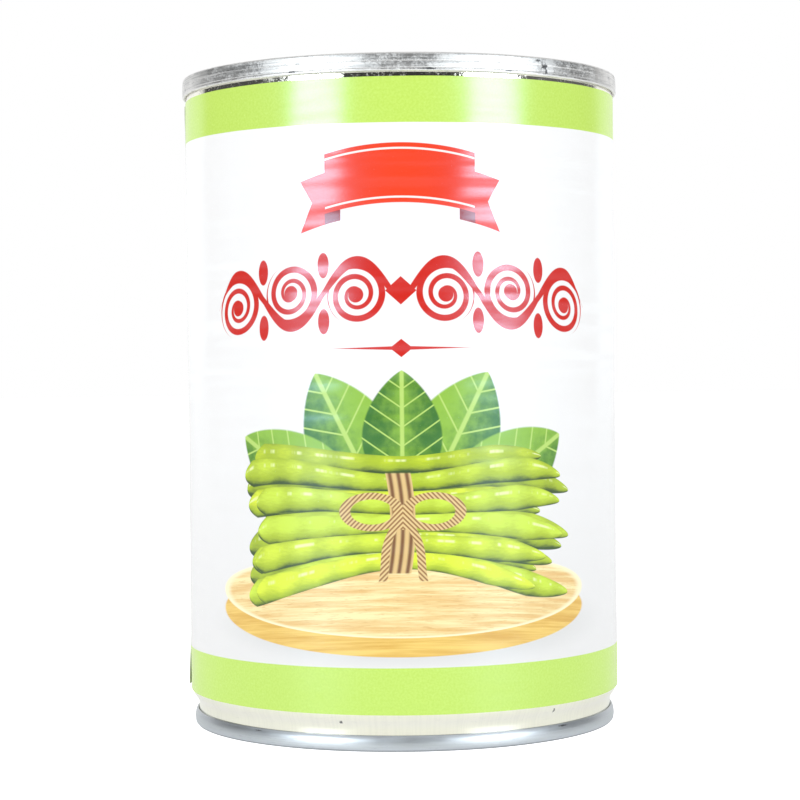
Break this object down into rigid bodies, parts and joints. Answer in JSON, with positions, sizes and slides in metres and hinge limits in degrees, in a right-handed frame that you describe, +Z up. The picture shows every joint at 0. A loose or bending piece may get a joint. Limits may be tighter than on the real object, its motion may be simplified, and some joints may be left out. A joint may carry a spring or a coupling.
{
  "type": "food can",
  "caption": "Closed tinplate food can with double-seamed ends, a narrowed foot that stacks into the rim, and a wrapped paper label, packed with green beans in brine.",
  "frame": {"origin": "centre of the foot, on the surface that the can stands on", "axes": "+Z up along the can's axis, -Y out of the front of the label"},
  "size_m": [0.0744, 0.0744, 0.1095],
  "materials": {
    "tinplate": "gloss",
    "label_paper": "satin",
    "sealing_compound": "matte",
    "brine": "gloss",
    "bean": "satin"
  },
  "bodies": {
    "root": {"can_body": "tinplate", "top_end": "tinplate", "bottom_end": "tinplate", "label": "label_paper", "top_seal": "sealing_compound", "bottom_seal": "sealing_compound", "brine": "brine", "bean_01": "bean", "bean_02": "bean", "bean_03": "bean", "bean_04": "bean", "bean_05": "bean", "bean_06": "bean", "bean_07": "bean", "bean_08": "bean", "bean_09": "bean", "bean_10": "bean", "bean_11": "bean", "bean_12": "bean", "bean_13": "bean", "bean_14": "bean", "bean_15": "bean", "bean_16": "bean", "bean_17": "bean", "bean_18": "bean", "bean_19": "bean", "bean_20": "bean", "bean_21": "bean", "bean_22": "bean", "bean_23": "bean", "bean_24": "bean", "bean_25": "bean", "bean_26": "bean", "bean_27": "bean", "bean_28": "bean", "bean_29": "bean", "bean_30": "bean", "bean_31": "bean", "bean_32": "bean", "bean_33": "bean", "bean_34": "bean", "bean_35": "bean", "bean_36": "bean", "bean_37": "bean"}
  },
  "joints": []
}
